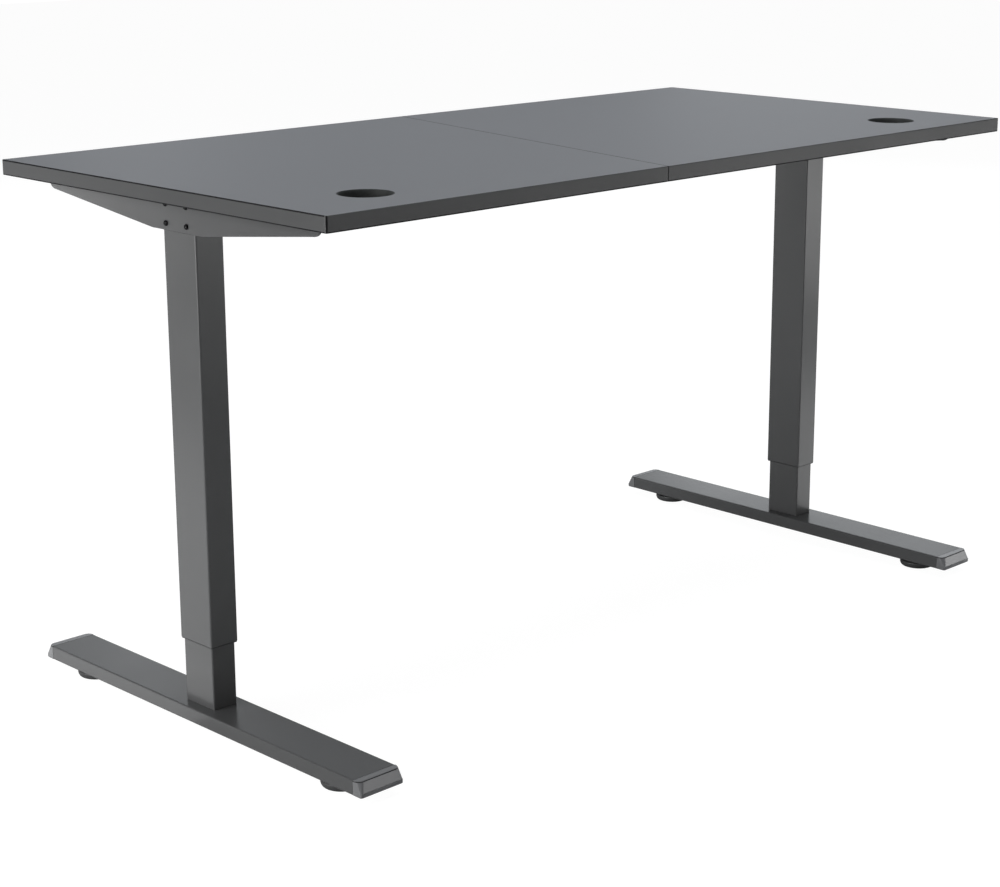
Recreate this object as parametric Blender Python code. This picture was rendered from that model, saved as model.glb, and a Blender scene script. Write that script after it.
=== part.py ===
"""Height adjustable standing desk with a two-piece top and two lifting columns.

Metres, +Z up. The origin is on the floor under the middle of the desk. +X runs along the
long edges. +Y points to the side where the user sits, under which the handset hangs; the
two cable grommets are on the -Y side. "left" is -X and "right" is +X.

Two groups: the base (feet and inner tubes) stands still, and the lifting frame (top, arms,
outer tubes, drives) rises along +Z. Each levelling pad screws out of its foot, each handset
button goes in along -Y, and each spindle turns about its column's own axis.
"""
import math

import bmesh
import bpy
from mathutils import Vector

# ---------------------------------------------------------------- sizes, in metres
GAP = 0.0003                    # between pieces that touch
SLIDE_GAP = 0.0003              # between pieces that slide on each other

TOP_LENGTH = 1.400              # along X
TOP_WIDTH = 0.700               # along Y
TOP_THICKNESS = 0.0213
TOP_CORNER_RADIUS = 0.003
DESK_HEIGHT = 0.7556            # top surface above the floor, as drawn
SEAM_X_AT_BACK = -0.1005        # where the joint line meets the -Y edge
SEAM_X_AT_FRONT = 0.0390        # where it meets the +Y edge
SEAM_GAP = 0.0006

GROMMET_FROM_END = 0.1494       # hole centre from the short edge
GROMMET_FROM_BACK = 0.1035      # hole centre from the -Y edge
GROMMET_RADIUS = 0.0365
GROMMET_WALL = 0.0028
GROMMET_LIP = 0.0012            # how far the liner narrows at its upper end
GROMMET_LIP_HEIGHT = 0.0030
GROMMET_BELOW_TOP = 0.0002      # liner's rim under the top surface

COLUMN_FROM_END = 0.0650        # column axis from the short edge
OUTER_TUBE_X = 0.0447
OUTER_TUBE_Y = 0.0694
TUBE_WALL = 0.0015
TUBE_CORNER_RADIUS = 0.0025
TUBE_SPACE_X = 0.0015           # between inner and outer tube, each side
TUBE_SPACE_Y = 0.0017
OUTER_TUBE_FOOT_CLEARANCE = 0.0916   # outer tube's lower end above the foot
INNER_TUBE_HEADROOM = 0.0620    # inner tube's upper end below the column head
BUSH_LENGTH = 0.0500
BUSH_INSET = 0.0006             # bush end inside the tube's end
GUIDE_LIP_HEIGHT = 0.0012       # lower bush's lip under the outer tube's rim
GUIDE_LIP_SETBACK = 0.0004      # lip's face inside the outer tube's face

ARM_CENTRE_Y = 0.0053
ARM_HALF_LENGTH = 0.2920
ARM_FLAT_HALF_LENGTH = 0.0540
ARM_TAPER_HALF_LENGTH = 0.2780
ARM_DEPTH = 0.0441
ARM_END_DEPTH = 0.0178
ARM_FLANGE = 0.0420
ARM_SHEET = 0.0025

HEAD_EAR_HALF_LENGTH = 0.0620
HEAD_EAR_DROP = 0.0330          # ears' lower face below the arm's flange
LEDGE_LENGTH = 0.0300
LEDGE_THICKNESS = 0.0040

RAIL_Y = 0.0470
RAIL_WIDTH = 0.0280
RAIL_HEIGHT = 0.0250
RAIL_WALL = 0.0020

BOLT_HEAD_RADIUS = 0.00525
BOLT_HEAD_HEIGHT = 0.0033
BOLT_SHANK_RADIUS = 0.0030
BOLT_HOLE_CLEARANCE = 0.0003
BOLT_SOCKET = 0.0040            # hexagon across flats
ARM_BOLT_LENGTH = 0.0140
ARM_BOLT_HEAD_RADIUS = 0.0038
ARM_BOLT_HEAD_HEIGHT = 0.0022
ARM_BOLT_SHANK_RADIUS = 0.0020
ARM_BOLT_SOCKET = 0.0025
ARM_BOLT_SPACING_Y = 0.0444
ARM_BOLT_UPPER_DEPTH = 0.0097   # upper row below the top's underside
ARM_BOLT_LOWER_EDGE = 0.0087    # lower row above the web's lower edge

SPINDLE_RADIUS = 0.0080
SPINDLE_RUN_CLEARANCE = 0.0001
SPINDLE_FROM_FOOT = 0.1550      # spindle's lower end above the foot
SPINDLE_INTO_HEAD = 0.0300
NUT_HEIGHT = 0.0260

MOTOR_RADIUS = 0.0235
MOTOR_LENGTH = 0.1080
MOTOR_DROP = 0.0300             # motor axis below the top's underside

FOOT_LENGTH = 0.6790            # steel beam, without its end caps
FOOT_WIDTH = 0.0712
FOOT_HEIGHT = 0.0208
FOOT_WALL = 0.0020
FOOT_CORNER_RADIUS = 0.0020
FOOT_BOLT_HALF_SPACING = 0.0180
FOOT_BOLT_LENGTH = 0.0110
FOOT_ACCESS_RADIUS = 0.0075
BASE_PLATE_HEIGHT = 0.0100

CAP_PLUG_LENGTH = 0.0220
CAP_TOP_LENGTH = 0.0108         # flat top beyond the beam
CAP_TOP_RADIUS = 0.0085         # top's and leaning nose's corners, seen from above
CAP_LIP_LENGTH = 0.0163         # upright lip beyond the beam
CAP_LIP_RADIUS = 0.0030         # lip's corners, seen from above
CAP_LIP_HEIGHT = 0.0062
CAP_LEDGE = 0.0002              # lip proud of the leaning nose above it
CAP_EDGE = 0.0008
CAP_PLUG_OVERLAP = 0.0020

PAD_FROM_BEAM_END = 0.0625      # pad axis from the steel beam's end
PAD_RADIUS = 0.0290
PAD_HEIGHT = 0.0120
PAD_TO_FOOT = 0.0028            # pad's upper face to the foot
STUD_RADIUS = 0.0040
STUD_HOLE_CLEARANCE = 0.0003
STUD_TOP_CLEARANCE = 0.0026     # stud's end below the foot's upper wall

SEAM_PLATE_LENGTH = 0.5200
SEAM_PLATE_WIDTH = 0.0800
SEAM_PLATE_THICKNESS = 0.0025

CONTROL_BOX_SIZE = (0.2400, 0.0800, 0.0360)
CONTROL_BOX_X = 0.2400
CONTROL_BOX_FROM_RAIL = 0.0240
SOCKET_SIZE = (0.0240, 0.0160)
SOCKET_DEPTH = 0.0120

HANDSET_SIZE = (0.1180, 0.0560, 0.0200)
HANDSET_FROM_END = 0.2400
HANDSET_FROM_FRONT = 0.0040
BUTTON_SIZE = (0.0130, 0.0060, 0.0100)
BUTTON_PROUD = 0.0014
BUTTON_PITCH = 0.0190
BUTTON_SIDE_CLEARANCE = 0.0004
BUTTON_BACK_CLEARANCE = 0.0014
DISPLAY_SIZE = (0.0300, 0.0016, 0.0110)

# ---------------------------------------------------------------- derived places
UNDERSIDE = DESK_HEIGHT - TOP_THICKNESS
COLUMN_X = TOP_LENGTH / 2 - COLUMN_FROM_END
FLANGE_TOP = UNDERSIDE - GAP
FLANGE_BOTTOM = FLANGE_TOP - ARM_SHEET
ARM_OUTER_X = COLUMN_X + OUTER_TUBE_X / 2
HEAD_BOTTOM = UNDERSIDE - ARM_DEPTH - GAP
HEAD_TOP = FLANGE_BOTTOM - GAP
HEAD_OUTER_X = ARM_OUTER_X - ARM_SHEET - GAP
HEAD_INNER_X = COLUMN_X - OUTER_TUBE_X / 2
FOOT_BOTTOM = PAD_HEIGHT + PAD_TO_FOOT
FOOT_TOP = FOOT_BOTTOM + FOOT_HEIGHT
OUTER_TUBE_TOP = HEAD_BOTTOM - GAP
OUTER_TUBE_BOTTOM = FOOT_TOP + OUTER_TUBE_FOOT_CLEARANCE
INNER_TUBE_X = OUTER_TUBE_X - 2 * TUBE_WALL - 2 * TUBE_SPACE_X
INNER_TUBE_Y = OUTER_TUBE_Y - 2 * TUBE_WALL - 2 * TUBE_SPACE_Y
INNER_TUBE_BOTTOM = FOOT_TOP + GAP
INNER_TUBE_TOP = HEAD_BOTTOM - INNER_TUBE_HEADROOM
RAIL_TOP = HEAD_TOP
RAIL_BOTTOM = RAIL_TOP - RAIL_HEIGHT
GROMMET_X = TOP_LENGTH / 2 - GROMMET_FROM_END
GROMMET_Y = -TOP_WIDTH / 2 + GROMMET_FROM_BACK
SIDES = (("left", -1.0), ("right", 1.0))
ENDS = (("back", -1.0), ("front", 1.0))


# ---------------------------------------------------------------- shape helpers
def circle(radius, count, centre=(0.0, 0.0)):
    """Points round a circle, anticlockwise."""
    turn = 2 * math.pi / count
    return [
        (centre[0] + radius * math.cos(i * turn), centre[1] + radius * math.sin(i * turn))
        for i in range(count)
    ]


def hexagon(across_flats, count):
    """A hexagon sampled at count equal angles, with its six corners among them."""
    points = []
    for i in range(count):
        angle = i * 2 * math.pi / count
        off_flat = (angle + math.pi / 6) % (math.pi / 3) - math.pi / 6
        radius = across_flats / 2 / math.cos(off_flat)
        points.append((radius * math.cos(angle), radius * math.sin(angle)))
    return points


def rounded_rectangle(size_a, size_b, radius, steps=3):
    """A rectangle about its centre with rounded corners, anticlockwise."""
    points = []
    for quarter, (sa, sb) in enumerate(((1, 1), (-1, 1), (-1, -1), (1, -1))):
        centre_a = sa * (size_a / 2 - radius)
        centre_b = sb * (size_b / 2 - radius)
        for step in range(steps + 1):
            angle = (quarter + step / steps) * math.pi / 2
            points.append((centre_a + radius * math.cos(angle), centre_b + radius * math.sin(angle)))
    return points


def round_corners(corners, radii, steps=3):
    """A polygon, anticlockwise, with each convex corner replaced by an arc of its radius."""
    points = []
    count = len(corners)
    for i, (corner, radius) in enumerate(zip(corners, radii)):
        here = Vector(corner)
        if radius == 0:
            points.append(tuple(here))
            continue
        before = (Vector(corners[i - 1]) - here).normalized()
        after = (Vector(corners[(i + 1) % count]) - here).normalized()
        half = before.angle(after) / 2
        centre = here + (before + after).normalized() * radius / math.sin(half)
        start = here + before * radius / math.tan(half) - centre
        sweep = math.pi - 2 * half
        for step in range(steps + 1):
            angle = sweep * step / steps
            cos, sin = math.cos(angle), math.sin(angle)
            points.append((
                centre.x + start.x * cos - start.y * sin,
                centre.y + start.x * sin + start.y * cos,
            ))
    return points


def at_height(points, z):
    """Plan points as 3-D points at one height."""
    return [Vector((a, b, z)) for a, b in points]


def along_y(points, y):
    """Points of an X, Z section as 3-D points at one Y."""
    return [Vector((a, y, b)) for a, b in points]


def loft(bm, loops, closed=False):
    """Skin a row of loops that have equal counts; cap both ends unless the row is closed."""
    rings = [[bm.verts.new(point) for point in loop] for loop in loops]
    pairs = list(zip(rings, rings[1:]))
    if closed:
        pairs.append((rings[-1], rings[0]))
    for first, second in pairs:
        for i in range(len(first)):
            j = (i + 1) % len(first)
            bm.faces.new((first[i], first[j], second[j], second[i]))
    if not closed:
        bm.faces.new(list(reversed(rings[0])))
        bm.faces.new(rings[-1])


def plate(bm, outline, holes, z_low, z_high):
    """A flat plate with through holes: outline and holes are filled, then extruded."""
    edges = []
    for loop in [outline] + list(holes):
        verts = [bm.verts.new((a, b, z_low)) for a, b in loop]
        for i, vert in enumerate(verts):
            edges.append(bm.edges.new((vert, verts[(i + 1) % len(verts)])))
    filled = bmesh.ops.triangle_fill(bm, use_beauty=True, use_dissolve=False, edges=edges)
    faces = [item for item in filled["geom"] if isinstance(item, bmesh.types.BMFace)]
    raised = bmesh.ops.extrude_face_region(bm, geom=faces, use_keep_orig=True)
    verts = [item for item in raised["geom"] if isinstance(item, bmesh.types.BMVert)]
    bmesh.ops.translate(bm, verts=verts, vec=(0, 0, z_high - z_low))


def box(bm, low, high):
    """A box between two corners."""
    outline = ((low[0], low[1]), (high[0], low[1]), (high[0], high[1]), (low[0], high[1]))
    loft(bm, [at_height(outline, low[2]), at_height(outline, high[2])])


def cylinder(bm, radius, start, end, count=16):
    """A cylinder from start to end, along any direction."""
    axis = (Vector(end) - Vector(start)).normalized()
    turn = Vector((0, 0, 1)).rotation_difference(axis)
    loops = [
        [Vector(point) + turn @ Vector((a, b, 0)) for a, b in circle(radius, count)]
        for point in (start, end)
    ]
    loft(bm, loops)


# ---------------------------------------------------------------- object helpers
def clear_scene():
    """Remove whatever the file opened with."""
    for obj in list(bpy.data.objects):
        bpy.data.objects.remove(obj, do_unlink=True)


def make_material(name, colour, roughness, metallic):
    """A Principled material of one colour."""
    material = bpy.data.materials.new(name)
    material.use_nodes = True
    shader = material.node_tree.nodes["Principled BSDF"]
    shader.inputs["Base Color"].default_value = (*colour, 1.0)
    shader.inputs["Roughness"].default_value = roughness
    shader.inputs["Metallic"].default_value = metallic
    return material


def make_group(name):
    """An empty that carries one group of pieces."""
    empty = bpy.data.objects.new(name, None)
    empty.empty_display_size = 0.05
    bpy.context.scene.collection.objects.link(empty)
    return empty


def make_object(name, bm, material, parent, location=(0, 0, 0), smooth=False):
    """Turn a bmesh into a named object with one material."""
    bmesh.ops.recalc_face_normals(bm, faces=bm.faces)
    mesh = bpy.data.meshes.new(name)
    bm.to_mesh(mesh)
    bm.free()
    mesh.materials.append(material)
    if smooth:
        mesh.shade_smooth()
        mesh.set_sharp_from_angle(angle=math.radians(35))
    obj = bpy.data.objects.new(name, mesh)
    bpy.context.scene.collection.objects.link(obj)
    obj.parent = parent
    obj.location = location
    return obj


def apply_tool(target, name, bm, operation):
    """Cut a tool shape from a piece, or join it on; the tool stays as a hidden wire guide."""
    tool = make_object(name, bm, target.data.materials[0], target.parent, target.location)
    tool.hide_render = True
    tool.display_type = "WIRE"
    modifier = target.modifiers.new(name, "BOOLEAN")
    modifier.operation = operation
    modifier.solver = "EXACT"
    modifier.object = tool


# ---------------------------------------------------------------- fasteners
BOLT = (BOLT_SHANK_RADIUS, BOLT_HEAD_RADIUS, BOLT_HEAD_HEIGHT, BOLT_SOCKET)
ARM_BOLT = (ARM_BOLT_SHANK_RADIUS, ARM_BOLT_HEAD_RADIUS, ARM_BOLT_HEAD_HEIGHT, ARM_BOLT_SOCKET)


def bolt_mesh(length, size, count=12):
    """A button-head bolt: head's bearing face at the origin, shank along -Z."""
    shank, head, height, socket = size
    loops = [
        at_height(circle(shank * 0.8, count), -length),
        at_height(circle(shank, count), -length + shank * 0.4),
        at_height(circle(shank, count), 0.0),
        at_height(circle(head, count), 0.0),
        at_height(circle(head, count), height * 0.3),
        at_height(circle(head * 0.82, count), height * 0.8),
        at_height(circle(head * 0.58, count), height),
        at_height(hexagon(socket, count), height),
        at_height(hexagon(socket, count), height * 0.4),
    ]
    bm = bmesh.new()
    loft(bm, loops)
    return bm


def make_bolt(name, length, size, location, direction, material, parent):
    """A bolt whose head faces along direction."""
    bolt = make_object(name, bolt_mesh(length, size), material, parent, location, smooth=True)
    bolt.rotation_mode = "QUATERNION"
    bolt.rotation_quaternion = Vector((0, 0, 1)).rotation_difference(Vector(direction))


# ---------------------------------------------------------------- top
def seam_x(y):
    """X of the slanting joint between the two boards at one Y."""
    share = (y + TOP_WIDTH / 2) / TOP_WIDTH
    return SEAM_X_AT_BACK + (SEAM_X_AT_FRONT - SEAM_X_AT_BACK) * share


def make_top(lifting, board, plastic, steel):
    """Two boards that meet at a slanting seam, a grommet liner in each, a plate under the seam."""
    half_length, half_width = TOP_LENGTH / 2, TOP_WIDTH / 2
    radius = TOP_CORNER_RADIUS
    slant = math.hypot(1.0, (SEAM_X_AT_FRONT - SEAM_X_AT_BACK) / TOP_WIDTH)
    for side, sign in SIDES:
        shift = sign * SEAM_GAP / 2 * slant
        corners = [
            (sign * half_length, -half_width),
            (sign * half_length, half_width),
            (seam_x(half_width) + shift, half_width),
            (seam_x(-half_width) + shift, -half_width),
        ]
        radii = [radius, radius, 0, 0]
        if sign < 0:
            corners.reverse()
            radii.reverse()
        centre = (sign * GROMMET_X, GROMMET_Y)
        hole = circle(GROMMET_RADIUS + GAP, 32, centre)
        bm = bmesh.new()
        plate(bm, round_corners(corners, radii), [hole], UNDERSIDE, DESK_HEIGHT)
        make_object(side + "_top_board", bm, board, lifting)

        inner = GROMMET_RADIUS - GROMMET_WALL
        rim = DESK_HEIGHT - GROMMET_BELOW_TOP
        lip = inner - GROMMET_LIP
        bm = bmesh.new()
        loft(bm, [
            at_height(circle(lip, 32), rim),
            at_height(circle(lip, 32), rim - GROMMET_LIP_HEIGHT),
            at_height(circle(inner, 32), rim - GROMMET_LIP_HEIGHT - GROMMET_LIP),
            at_height(circle(inner, 32), UNDERSIDE),
            at_height(circle(GROMMET_RADIUS, 32), UNDERSIDE),
            at_height(circle(GROMMET_RADIUS, 32), rim),
        ], closed=True)
        make_object(side + "_grommet", bm, plastic, lifting, (*centre, 0), smooth=True)

    outline = rounded_rectangle(SEAM_PLATE_WIDTH, SEAM_PLATE_LENGTH, 0.006)
    bm = bmesh.new()
    plate(bm, outline, [], -SEAM_PLATE_THICKNESS, 0.0)
    seam_plate = make_object("seam_plate", bm, steel, lifting, (seam_x(0), 0, FLANGE_TOP))
    seam_plate.rotation_euler.z = -math.atan((SEAM_X_AT_FRONT - SEAM_X_AT_BACK) / TOP_WIDTH)


# ---------------------------------------------------------------- lifting frame
def arm_stations():
    """Half-lengths along the arm with the web's depth at each, from the middle out."""
    nose = ARM_HALF_LENGTH - ARM_TAPER_HALF_LENGTH
    stations = [(ARM_FLAT_HALF_LENGTH, ARM_DEPTH), (ARM_TAPER_HALF_LENGTH, ARM_END_DEPTH)]
    for step in range(1, 5):
        angle = step / 4 * math.pi / 2
        reach = ARM_TAPER_HALF_LENGTH + nose * math.sin(angle)
        drop = (ARM_END_DEPTH - ARM_SHEET * 2) * (1 - math.cos(angle)) * 0.75
        stations.append((reach, ARM_END_DEPTH - drop))
    return stations


def bolt_places():
    """Y and Z of the four bolts through each arm's web."""
    return [
        (ARM_CENTRE_Y + offset * ARM_BOLT_SPACING_Y / 2, UNDERSIDE - depth)
        for depth in (ARM_BOLT_UPPER_DEPTH, ARM_DEPTH - ARM_BOLT_LOWER_EDGE)
        for offset in (-1, 1)
    ]


def make_arm(side, sign, lifting, paint, black):
    """A folded sheet arm: deep web flush with the column, flange under the top, four bolts."""
    stations = arm_stations()
    row = [(-reach, depth) for reach, depth in reversed(stations)] + stations
    loops = []
    for reach, depth in row:
        inward = -sign
        web_x = sign * ARM_OUTER_X
        sheet_x = web_x + inward * ARM_SHEET
        flange_x = web_x + inward * ARM_FLANGE
        low = UNDERSIDE - depth
        section = [
            (web_x, FLANGE_TOP), (web_x, low), (sheet_x, low),
            (sheet_x, FLANGE_BOTTOM), (flange_x, FLANGE_BOTTOM), (flange_x, FLANGE_TOP),
        ]
        loops.append(along_y(section, ARM_CENTRE_Y + reach))
    bm = bmesh.new()
    loft(bm, loops)
    arm = make_object(side + "_side_arm", bm, paint, lifting)

    holes = bmesh.new()
    for y, z in bolt_places():
        reach = 2 * ARM_SHEET
        cylinder(
            holes, ARM_BOLT_SHANK_RADIUS + BOLT_HOLE_CLEARANCE,
            (sign * (ARM_OUTER_X - reach), y, z), (sign * (ARM_OUTER_X + reach), y, z),
        )
    apply_tool(arm, side + "_arm_holes", holes, "DIFFERENCE")
    for number, (y, z) in enumerate(bolt_places(), 1):
        place = (sign * (ARM_OUTER_X + GAP), y, z)
        name = f"{side}_arm_bolt_{number}"
        make_bolt(name, ARM_BOLT_LENGTH, ARM_BOLT, place, (sign, 0, 0), black, lifting)


def make_head(side, sign, lifting, casting, black):
    """The cast gearbox on the column: seat for the tube, ears and two ledges for the rails."""
    outer, inner = sorted((sign * HEAD_OUTER_X, sign * HEAD_INNER_X))
    ear_bottom = HEAD_TOP - HEAD_EAR_DROP
    bm = bmesh.new()
    box(bm, (outer, -HEAD_EAR_HALF_LENGTH, ear_bottom), (inner, HEAD_EAR_HALF_LENGTH, HEAD_TOP))
    head = make_object(side + "_column_head", bm, casting, lifting)

    seat = bmesh.new()
    seat_y = OUTER_TUBE_Y / 2
    box(seat, (outer, -seat_y, HEAD_BOTTOM), (inner, seat_y, ear_bottom + 0.004))
    apply_tool(head, side + "_head_seat", seat, "UNION")

    ledge_top = RAIL_BOTTOM - GAP
    for end, way in ENDS:
        ledge = bmesh.new()
        x_low, x_high = sorted((sign * (HEAD_INNER_X + 0.004), sign * (HEAD_INNER_X - LEDGE_LENGTH)))
        y_low, y_high = sorted((way * (RAIL_Y - RAIL_WIDTH / 2), way * HEAD_EAR_HALF_LENGTH))
        box(ledge, (x_low, y_low, ledge_top - LEDGE_THICKNESS), (x_high, y_high, ledge_top))
        apply_tool(head, f"{side}_{end}_ledge", ledge, "UNION")

    holes = bmesh.new()
    bore = SPINDLE_RADIUS + SPINDLE_RUN_CLEARANCE
    axis_x = sign * COLUMN_X
    cylinder(holes, bore, (axis_x, 0, HEAD_BOTTOM - 0.01), (axis_x, 0, HEAD_TOP + 0.01), 32)
    for y, z in bolt_places():
        depth = ARM_BOLT_LENGTH + 0.001
        cylinder(
            holes, ARM_BOLT_SHANK_RADIUS + BOLT_HOLE_CLEARANCE,
            (sign * (ARM_OUTER_X - depth), y, z), (sign * (ARM_OUTER_X + 0.01), y, z),
        )
    for way in (-1, 1):
        x = sign * (HEAD_INNER_X - LEDGE_LENGTH / 2)
        cylinder(
            holes, BOLT_SHANK_RADIUS + BOLT_HOLE_CLEARANCE,
            (x, way * RAIL_Y, ledge_top - 0.02), (x, way * RAIL_Y, ledge_top + 0.001),
        )
    apply_tool(head, side + "_head_holes", holes, "DIFFERENCE")

    for end, way in ENDS:
        x = sign * (HEAD_INNER_X - LEDGE_LENGTH / 2)
        place = (x, way * RAIL_Y, ledge_top - LEDGE_THICKNESS - GAP)
        length = LEDGE_THICKNESS + RAIL_WALL + 0.005
        make_bolt(f"{side}_{end}_rail_bolt", length, BOLT, place, (0, 0, -1), black, lifting)


def make_rails(lifting, paint):
    """Two hollow rails between the column heads, drilled for the bolts from the ledges."""
    reach = HEAD_INNER_X - GAP
    for end, way in ENDS:
        outer = rounded_rectangle(RAIL_WIDTH, RAIL_HEIGHT, 0.003)
        hollow = rounded_rectangle(RAIL_WIDTH - 2 * RAIL_WALL, RAIL_HEIGHT - 2 * RAIL_WALL, 0.001)
        loops = [
            [Vector((x, a, b)) for a, b in points]
            for x, points in ((-reach, outer), (reach, outer), (reach, hollow), (-reach, hollow))
        ]
        bm = bmesh.new()
        loft(bm, loops, closed=True)
        centre_z = RAIL_TOP - RAIL_HEIGHT / 2
        rail = make_object(end + "_rail", bm, paint, lifting, (0, way * RAIL_Y, centre_z))
        holes = bmesh.new()
        for sign in (-1, 1):
            x = sign * (HEAD_INNER_X - LEDGE_LENGTH / 2)
            low = -RAIL_HEIGHT / 2
            cylinder(
                holes, BOLT_SHANK_RADIUS + BOLT_HOLE_CLEARANCE,
                (x, 0, low - 0.01), (x, 0, low + 2 * RAIL_WALL),
            )
        apply_tool(rail, end + "_rail_holes", holes, "DIFFERENCE")


def make_motor(side, sign, lifting, motor_paint):
    """The drive motor: a stepped can that lies along X between the rails."""
    start = sign * (HEAD_INNER_X - GAP)
    steps = (
        (0.0, MOTOR_RADIUS * 0.62), (0.004, MOTOR_RADIUS * 0.62), (0.004, MOTOR_RADIUS),
        (MOTOR_LENGTH - 0.010, MOTOR_RADIUS), (MOTOR_LENGTH - 0.006, MOTOR_RADIUS * 0.8),
        (MOTOR_LENGTH, MOTOR_RADIUS * 0.76),
    )
    loops = [
        [Vector((start - sign * along, a, b)) for a, b in circle(radius, 24)]
        for along, radius in steps
    ]
    bm = bmesh.new()
    loft(bm, loops)
    make_object(side + "_motor", bm, motor_paint, lifting, (0, 0, UNDERSIDE - MOTOR_DROP), True)


def tube_mesh(size_x, size_y, radius, wall, z_low, z_high):
    """A straight rectangular tube, open at both ends."""
    outer = rounded_rectangle(size_x, size_y, radius)
    inner = rounded_rectangle(size_x - 2 * wall, size_y - 2 * wall, max(radius - wall, 0.0004))
    bm = bmesh.new()
    loft(bm, [
        at_height(outer, z_low), at_height(outer, z_high),
        at_height(inner, z_high), at_height(inner, z_low),
    ], closed=True)
    return bm


def make_column(side, sign, lifting, base, paint, plastic, steel, brass):
    """Outer tube over inner tube with two guide bushes, and the spindle running in its nut."""
    place = (sign * COLUMN_X, 0, 0)
    radius = TUBE_CORNER_RADIUS
    bm = tube_mesh(
        OUTER_TUBE_X, OUTER_TUBE_Y, radius, TUBE_WALL, OUTER_TUBE_BOTTOM, OUTER_TUBE_TOP)
    make_object(side + "_outer_tube", bm, paint, lifting, place, smooth=True)
    bm = tube_mesh(
        INNER_TUBE_X, INNER_TUBE_Y, radius, TUBE_WALL, INNER_TUBE_BOTTOM, INNER_TUBE_TOP)
    make_object(side + "_inner_tube", bm, paint, base, place, smooth=True)

    cavity_x = OUTER_TUBE_X - 2 * TUBE_WALL
    cavity_y = OUTER_TUBE_Y - 2 * TUBE_WALL
    thin = min(TUBE_SPACE_X, TUBE_SPACE_Y) - GAP - SLIDE_GAP
    sleeve = rounded_rectangle(cavity_x - 2 * GAP, cavity_y - 2 * GAP, 0.0008)
    passage = rounded_rectangle(
        cavity_x - 2 * (GAP + thin), cavity_y - 2 * (GAP + thin), 0.0004)
    lip = rounded_rectangle(
        OUTER_TUBE_X - 2 * GUIDE_LIP_SETBACK, OUTER_TUBE_Y - 2 * GUIDE_LIP_SETBACK, radius)
    lip_top = OUTER_TUBE_BOTTOM - GAP
    sleeve_top = OUTER_TUBE_BOTTOM + BUSH_LENGTH
    bm = bmesh.new()
    loft(bm, [
        at_height(passage, sleeve_top), at_height(sleeve, sleeve_top),
        at_height(sleeve, lip_top), at_height(lip, lip_top),
        at_height(lip, lip_top - GUIDE_LIP_HEIGHT), at_height(passage, lip_top - GUIDE_LIP_HEIGHT),
    ], closed=True)
    make_object(side + "_lower_bush", bm, plastic, lifting, place)
    high = INNER_TUBE_TOP - BUSH_INSET
    bm = tube_mesh(
        cavity_x - 2 * SLIDE_GAP, cavity_y - 2 * SLIDE_GAP, 0.0008, thin, high - BUSH_LENGTH, high)
    make_object(side + "_upper_bush", bm, plastic, base, place)

    bm = bmesh.new()
    low = FOOT_TOP + SPINDLE_FROM_FOOT
    cylinder(bm, SPINDLE_RADIUS, (0, 0, low), (0, 0, HEAD_BOTTOM + SPINDLE_INTO_HEAD), 32)
    make_object(side + "_spindle", bm, steel, lifting, place, smooth=True)

    bore_x = INNER_TUBE_X - 2 * TUBE_WALL - 2 * GAP
    bore_y = INNER_TUBE_Y - 2 * TUBE_WALL - 2 * GAP
    block = rounded_rectangle(bore_x, bore_y, 0.002)
    thread = circle(SPINDLE_RADIUS + SPINDLE_RUN_CLEARANCE, 32)
    top = INNER_TUBE_TOP - 0.001
    bm = bmesh.new()
    plate(bm, block, [thread], top - NUT_HEIGHT, top)
    make_object(side + "_spindle_nut", bm, brass, base, place)

    drilled = [
        circle(BOLT_SHANK_RADIUS + BOLT_HOLE_CLEARANCE, 12, (0, way * FOOT_BOLT_HALF_SPACING))
        for way in (-1, 1)
    ]
    bm = bmesh.new()
    plate(bm, block, drilled, INNER_TUBE_BOTTOM, INNER_TUBE_BOTTOM + BASE_PLATE_HEIGHT)
    make_object(side + "_base_plate", bm, steel, base, place)


# ---------------------------------------------------------------- feet
def make_foot(side, sign, base, paint, plastic, black):
    """A hollow steel beam with moulded end caps, two column bolts and two levelling pads."""
    x = sign * COLUMN_X
    centre_z = FOOT_BOTTOM + FOOT_HEIGHT / 2
    outer = rounded_rectangle(FOOT_WIDTH, FOOT_HEIGHT, FOOT_CORNER_RADIUS)
    hollow_width = FOOT_WIDTH - 2 * FOOT_WALL
    hollow_height = FOOT_HEIGHT - 2 * FOOT_WALL
    inner = rounded_rectangle(hollow_width, hollow_height, 0.0008)
    half = FOOT_LENGTH / 2
    bm = bmesh.new()
    loft(bm, [
        along_y(outer, -half), along_y(outer, half), along_y(inner, half), along_y(inner, -half),
    ], closed=True)
    beam = make_object(side + "_foot_beam", bm, paint, base, (x, 0, centre_z))

    holes = bmesh.new()
    top, bottom = FOOT_HEIGHT / 2, -FOOT_HEIGHT / 2
    for way in (-1, 1):
        y = way * FOOT_BOLT_HALF_SPACING
        bore = BOLT_SHANK_RADIUS + BOLT_HOLE_CLEARANCE
        cylinder(holes, bore, (0, y, top - 2 * FOOT_WALL), (0, y, top + 0.01))
        cylinder(holes, FOOT_ACCESS_RADIUS, (0, y, bottom - 0.01), (0, y, bottom + 2 * FOOT_WALL))
        y = way * (half - PAD_FROM_BEAM_END)
        bore = STUD_RADIUS + STUD_HOLE_CLEARANCE
        cylinder(holes, bore, (0, y, bottom - 0.01), (0, y, bottom + 2 * FOOT_WALL))
    apply_tool(beam, side + "_foot_holes", holes, "DIFFERENCE")

    for end, way in ENDS:
        y = way * FOOT_BOLT_HALF_SPACING
        place = (x, y, FOOT_TOP - FOOT_WALL - GAP)
        bolt = make_object(
            f"{side}_{end}_foot_bolt", foot_bolt_mesh(), black, base, place, smooth=True)
        bolt.rotation_euler.x = math.pi
        make_cap(side, end, way, x, base, plastic)
        make_pad(side, end, way, x, base, plastic)


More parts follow.
